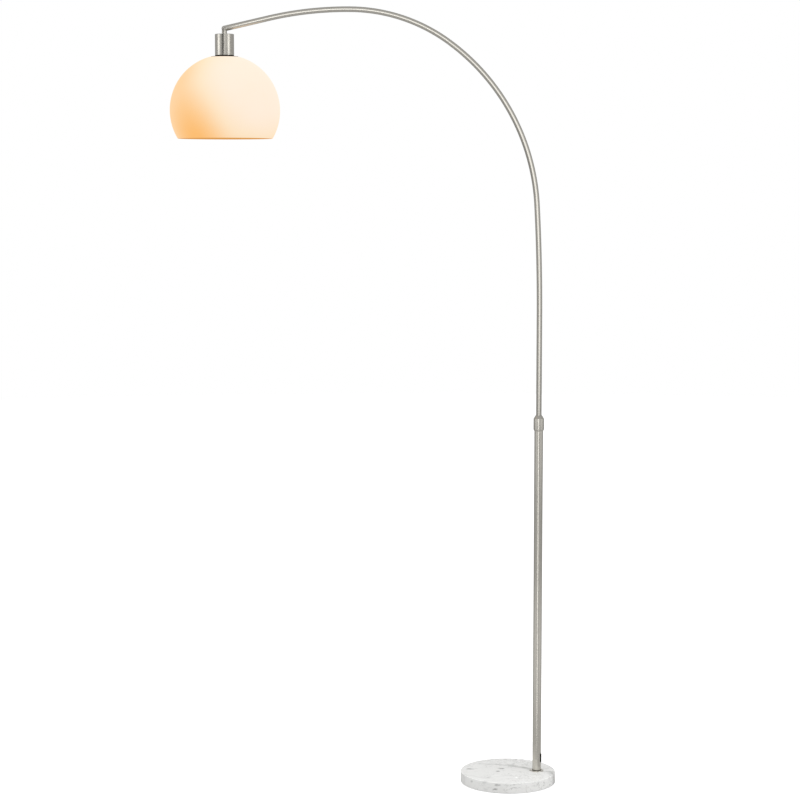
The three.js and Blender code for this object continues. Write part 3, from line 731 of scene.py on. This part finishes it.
def make_base():
    """The slab, with the hollows for the bolt that holds the pole, and the pad that it stands on."""
    bottom = low("marble_base").z
    outline = ring_outline(0, radius("marble_base"), bottom, BASE_TOP, BASE_EDGE, 8)
    slab = revolve("marble_slab", outline, centre_x("marble_base"), 240)
    start = bottom - OVERSHOOT
    hole = rod("hole", ANCHOR["hole"], start, BASE_TOP + OVERSHOOT, POLE_X)
    pocket = rod("pocket", ANCHOR["pocket"], start, high("anchor_washer").z, POLE_X, 64)
    finish_piece(boolean(slab, "DIFFERENCE", hole, pocket), "marble_base", "base", "marble")

    r, top = radius("floor_pad"), high("floor_pad").z
    outline = [(0, 0), (r - PAD_RIM, 0), (r, PAD_RIM), (r, top), (0, top)]
    pad = revolve("felted_pad", outline, centre_x("floor_pad"), 160)
    finish_piece(pad, "floor_pad", "base", "rubber")


def make_foot():
    """The plate under the pole has rounded lobes, and the seal on it is squeezed out by the pole."""
    outer, hole, bevel, bottom_bevel = FOOT["outer"], FOOT["hole"], FOOT["bevel"], 0.2
    bottom, top = low("foot_ring").z, high("foot_ring").z
    outline = [
        (hole, bottom),
        (outer - bottom_bevel, bottom),
        (outer, bottom + bottom_bevel),
        *arc((outer - bevel, top - bevel), bevel, 0, 90, 8),
        (hole, top),
    ]

    def lobed(r, angle):
        share = max(0.0, (r - hole) / (outer - hole))
        wave = 0.5 - 0.5 * math.cos(FOOT["lobes"] * (angle - FOOT["turn"]))
        return r - share * FOOT["notch"] * wave ** 2

    ring = revolve("foot_ring_lobed", outline, POLE_X, 240, lobed)
    finish_piece(ring, "foot_ring", "base", "nickel_turned")

    r, bottom, top = radius("foot_seal") + FOOT["squeezed"], low("foot_seal").z, high("foot_seal").z
    outline = ring_outline(hole, r, bottom, top, FOOT["seal_edge"], 4)
    finish_piece(revolve("seal", outline, POLE_X), "foot_seal", "base", "rubber")


def slot_bar(name, margin, start, end):
    """A bar along +X with the outline of the cord's bushing, less a margin all round. start and end
    are from the pole's axis."""
    box_low, box_high = low("cord_grommet"), high("cord_grommet")
    middle = (box_high.z + box_low.z) / 2
    corner = LIP["corner"] - margin
    side = (box_high.y - box_low.y) / 2 - margin - corner
    rise = (box_high.z - box_low.z) / 2 - margin - corner
    corners = ((side, rise, 0), (-side, rise, 90), (-side, -rise, 180), (side, -rise, 270))
    outline = [point for y, z, turn in corners for point in arc((y, z), corner, turn, turn + 90, 6)]
    bm = bmesh.new()
    ends = []
    for x in (start, end):
        ends.append([bm.verts.new((POLE_X + x, y, middle + up)) for y, up in outline])
    for i in range(len(outline)):
        j = (i + 1) % len(outline)
        bm.faces.new((ends[0][i], ends[0][j], ends[1][j], ends[1][i]))
    bm.faces.new(ends[0])
    bm.faces.new(ends[1])
    return piece(name, bm)


def tube_places(bottom, top):
    """Places for sweep() up the pole's axis."""
    steps = max(1, round((top - bottom) / STRAIGHT_STEP))
    return [(POLE_X, bottom + (top - bottom) * i / steps, math.pi / 2) for i in range(steps + 1)]


def make_lower_pole():
    """The thick tube, with the slot that the cord's bushing sits in."""
    r = radius("lower_pole")
    places = tube_places(low("lower_pole").z, high("lower_pole").z)
    pole = sweep("lower_pole_tube", places, r, r - WALL["lower_pole"], 96)
    boolean(pole, "DIFFERENCE", slot_bar("slot", LIP["cover"], 0, 15))
    finish_piece(pole, "lower_pole", "base", "nickel_upright")


def make_bushing():
    """The cord's bushing: a flat-faced lip outside the pole, a body through its slot, and a bore."""
    r = radius("lower_pole")
    z = (low("cord_grommet").z + high("cord_grommet").z) / 2
    bottom, top = z - 15, z + 15  # below and above the whole bushing
    inner, outer = r - WALL["lower_pole"] - LIP["inside"], r + GAP

    lip = slot_bar("bushing", 0, 5, r + LIP["proud"])
    boolean(lip, "DIFFERENCE", rod("round_pole", r + LIP["lift"], bottom, top, POLE_X, 160))
    body = slot_bar("body", LIP["cover"] + GAP, 5, 12)
    shell = revolve("shell", [(inner, bottom), (outer, bottom), (outer, top), (inner, top)], POLE_X, 160)
    boolean(body, "INTERSECT", shell)
    boolean(lip, "UNION", body)
    bore = turned(rod("bore", LIP["bore"], z, top, POLE_X), math.pi / 2, POLE_X, z)
    boolean(lip, "DIFFERENCE", bore)
    finish_piece(lip, "cord_grommet", "base", "matt_black")


# ---------- collar and mast ----------


def make_collar():
    """A turned nut: its foot tapers in, its side is straight, and a cone leads up to its mouth."""
    bottom, top, r = low("lock_collar").z, high("lock_collar").z, radius("lock_collar")
    bore, mouth = COLLAR["bore"], COLLAR["mouth"]
    foot_round, waist_round, shoulder_round, mouth_round = 0.35, 1.0, 0.8, 0.5
    mouth_centre = (mouth + 0.65, top - 0.6)
    outline = [
        (bore, bottom),
        *arc((r - COLLAR["foot"], bottom + foot_round), foot_round, -90, -40, 3),
        *arc((r - waist_round, bottom + COLLAR["taper"]), waist_round, -40, 0, 4),
        *arc((r - shoulder_round, top - COLLAR["cone"]), shoulder_round, 0, 45, 5),
        *arc(mouth_centre, mouth_round, 45, 90, 3),
        (mouth, top),
        (mouth, top - COLLAR["lip"]),
        (bore, high("collar_bush").z + 2),
    ]
    collar = revolve("lock_collar_turned", outline, POLE_X, 128)
    finish_piece(collar, "lock_collar", "collar", "nickel_turned")


def make_mast():
    """The thin straight tube between the collar and the arm."""
    r = radius("mast_tube")
    places = tube_places(low("mast_tube").z, high("mast_tube").z)
    mast = sweep("mast", places, r, r - WALL["upper_tube"], 72)
    finish_piece(mast, "mast_tube", "mast", "nickel_upright")


# ---------- arm ----------

ARC_LENGTHS = [r * math.radians(turn) for r, turn in ARM_ARCS]
ARC_ENDS = [sum(ARC_LENGTHS[: i + 1]) for i in range(len(ARC_LENGTHS))]
MAST_TOP = high("mast_tube").z


def arm_place(length):
    """The place and heading at a length along the arm, from the mast's top: (x, z, heading)."""
    x, z, heading, start = POLE_X, MAST_TOP, math.pi / 2, 0.0
    for (r, _), end in zip(ARM_ARCS, ARC_ENDS):
        turn = (min(length, end) - start) / r
        if turn <= 0:
            return x, z, heading
        x += r * (math.sin(heading + turn) - math.sin(heading))
        z -= r * (math.cos(heading + turn) - math.cos(heading))
        heading += turn
        start = end
    rest = max(0.0, length - start)
    return x + rest * math.cos(heading), z + rest * math.sin(heading), heading


LAST_X, _, LAST_HEADING = arm_place(ARC_ENDS[-1])
ARM_LENGTH = ARC_ENDS[-1] + (LAST_X - HEAD_X) / -math.cos(LAST_HEADING)  # it ends over the shade
ARM_SEAM = ARC_ENDS[1]


def arm_stretch(name, node, start, end):
    """One of the arm's tubes, between two lengths along the arm."""
    r = radius("mast_tube")
    steps = round((end - start) / CURVED_STEP)
    places = [arm_place(start + (end - start) * i / steps) for i in range(steps + 1)]
    tube = sweep(name, places, r, r - WALL["upper_tube"], 64)
    finish_piece(tube, node, "arm", "nickel_arm")


def make_arm():
    """The arm's two tubes, which leave a small gap to the mast and to each other."""
    arm_stretch("arm_lower", "arm_lower_tube", GAP, ARM_SEAM - GAP / 2)
    arm_stretch("arm_upper", "arm_upper_tube", ARM_SEAM + GAP / 2, ARM_LENGTH - SPIGOT["reach"])


def make_elbow():
    """The arm's closed round end, its spigot, and the stub that is welded under it."""
    x, z, heading = arm_place(ARM_LENGTH)
    lean = math.pi / 2 - (heading - math.pi)
    stub_bottom = low("tip_elbow").z
    r, bore, reach, root = radius("mast_tube"), SPIGOT["inner"], SPIGOT["reach"], SPIGOT["root"]
    inside_end = 2 * reach + 6  # past the spigot's end

    def along_arm(obj):
        return turned(obj, lean, x, z)

    end = [*arc((0, z), r, -90, 0, 16), (r, z + reach - GAP), (0, z + reach - GAP)]
    elbow = along_arm(revolve("tip_elbow_cast", end, x, 64))
    spigot = along_arm(rod("spigot", SPIGOT["outer"], z + reach - root, z + 2 * reach - root, x))
    stub = rod("stub", STUB["outer"], stub_bottom, z - 2, x, 64)
    boolean(elbow, "UNION", spigot, stub)
    hollow = [*arc((0, z), bore, -90, 0, 10), (bore, z + inside_end), (0, z + inside_end)]
    arm_bore = along_arm(revolve("arm_bore", hollow, x, 40))
    stub_bore = rod("stub_bore", bore, stub_bottom - OVERSHOOT, z, x, 40)
    thread = rod("thread", STUB["thread"], stub_bottom - OVERSHOOT, z - 1.5, x, 40)
    boolean(elbow, "DIFFERENCE", arm_bore, stub_bore, thread)
    finish_piece(elbow, "tip_elbow", "arm", "nickel_turned")


# ---------- head ----------


def make_cup():
    """The cup, and the two soft rings between it and the shade."""
    bottom, top, r = low("socket_cup").z, high("socket_cup").z, radius("socket_cup")
    inner, plate = r - WALL["cup"], top - CUP_PLATE
    rim_round, shoulder_round = 0.4, 1
    cup = [
        (inner, bottom + 0.1),
        *arc((r - rim_round, bottom + rim_round), rim_round, -90, 0, 5),
        *arc((r - shoulder_round, top - shoulder_round), shoulder_round, 0, 90, 8),
        (NIPPLE_HOLE, top),
        (NIPPLE_HOLE, plate),
        (inner, plate),
    ]
    finish_piece(revolve("cup", cup, HEAD_X, 128), "socket_cup", "arm", "nickel_turned")
    for node, name, edge in (("cup_gasket", "gasket", 0.5), ("shade_washer", "top_washer", 0.15)):
        outline = ring_outline(SHADE_HOLE, radius(node), low(node).z, high(node).z, edge, 5)
        finish_piece(revolve(name, outline, HEAD_X), node, "arm", "rubber")


def make_shade():
    """A ball cut off at its top and at its mouth, hollow, with a rounded rim."""
    wall, r, bottom = WALL["shade"], radius("shade"), low("shade").z
    rim = wall / 2
    centre = (0, SHADE_CENTRE)
    top_angle = math.degrees(math.asin((SHADE_TOP - centre[1]) / r))
    mouth_angle = -math.degrees(math.asin((centre[1] - bottom - rim) / (r - rim)))
    under_angle = math.degrees(math.asin((SHADE_TOP - wall - centre[1]) / (r - wall)))
    tilt = math.radians(mouth_angle)
    rim_centre = ((r - rim) * math.cos(tilt), centre[1] + (r - rim) * math.sin(tilt))
    outline = [
        (SHADE_HOLE, SHADE_TOP),
        *arc(centre, r, top_angle, mouth_angle, 72),
        *arc(rim_centre, rim, mouth_angle, mouth_angle - 180, 10)[1:-1],
        *arc(centre, r - wall, mouth_angle, under_angle, 72),
        (SHADE_HOLE, SHADE_TOP - wall),
    ]
    shade = revolve("opal_shade", outline, HEAD_X, 160)
    finish_piece(shade, "shade", "arm", "opal")


def make_skirt():
    """The lampholder's shell: its neck comes down through the shade, and its flange is on the gasket."""
    bottom, top, seat = low("holder_skirt").z, high("holder_skirt").z, high("cup_gasket").z + GAP
    bore, neck, edge, step = HOLDER["bore"], HOLDER["neck"], HOLDER["edge"], top - HOLDER["step"]
    bevel = 0.3
    skirt = [
        (bore, bottom + bevel),
        (bore + bevel, bottom),
        *arc((neck - edge, bottom + edge), edge, -90, 0, 5),
        (neck, seat),
        (HOLDER["flange"], seat),
        (HOLDER["flange"], step),
        (HOLDER["top"], step),
        (HOLDER["top"], top),
        (bore, top),
    ]
    finish_piece(revolve("skirt", skirt, HEAD_X), "holder_skirt", "arm", "black")


def make_ring_nut():
    """The nut that clamps the shade from inside, with notches round its grip and a thin flange."""
    bottom, top = low("shade_ring").z, high("shade_ring").z
    bore, grip, edge, flange_round = NUT["bore"], NUT["grip"], NUT["edge"], 0.4
    nut = [
        (bore, bottom),
        *arc((grip - edge, bottom + edge), edge, -90, 0, 4),
        (grip, top - NUT["thick"]),
        *arc((NUT["flange"] - flange_round, top - 1.1), flange_round, -60, 0, 3),
        (NUT["flange"], top),
        (bore, top),
    ]

    def notched(r, angle):
        if r > grip + 0.2 or r < grip - 1:
            return r
        return r - NUT["notch"] * max(0.0, math.cos(NUT["notches"] * angle)) ** 4

    ring = revolve("ring_nut", nut, HEAD_X, 288, notched)
    finish_piece(ring, "shade_ring", "arm", "black")


def make_bulb():
    """The bulb's glass: a ball that runs into a narrower neck."""
    r, bottom, top, wall = radius("bulb_glass"), low("bulb_glass").z, high("bulb_glass").z, WALL["bulb"]
    centre = (0, bottom + r)
    waist = [(BULB_NECK + out, top - down) for out, down in BULB_WAIST]
    outside = [*arc(centre, r, -90, BULB_SHOULDER, 40), *waist]
    inner_waist = [(x - wall, z) for x, z in reversed(waist)]
    inside = [*inner_waist, *arc(centre, r - wall, BULB_SHOULDER, -90, 40)]
    glass = revolve("bulb_globe", outside + inside, HEAD_X)
    finish_piece(glass, "bulb_glass", "bulb", "bulb")


# ---------- CAD nodes that stay as they are, and take a better material ----------

KEPT = {
    "zinc": [
        "anchor_washer",
        "spring_washer",
        "anchor_bolt",
        "foot_plug",
        "arm_spigot",
        "arm_coupler",
        "nipple_lock_washer",
        "terminal_screw_1",
        "terminal_screw_2",
        "bulb_contact",
        "bulb_cap",
    ],
    "brass": ["collar_bush", "head_nipple", "nipple_nut", "holder_screw_shell", "centre_tongue"],
    "black": ["holder_cap", "bulb_insulator"],
    "white": ["terminal_plate", "lead_connector", "mast_lead", "arm_lead"],
    "nylon": ["collet", "mast_guide"],
}


def finish_kept():
    """Gives each kept node its material, and smooth shading up to its real edges."""
    for finish, nodes in KEPT.items():
        for node in nodes:
            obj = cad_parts[node]
            obj.data.materials.clear()
            obj.data.materials.append(FINISHES[finish])
            soften(obj.data)


make_camera()
make_base()
make_foot()
make_lower_pole()
make_bushing()
make_collar()
make_mast()
make_arm()
make_elbow()
make_cup()
make_shade()
make_skirt()
make_ring_nut()
make_bulb()
finish_kept()
make_studio()
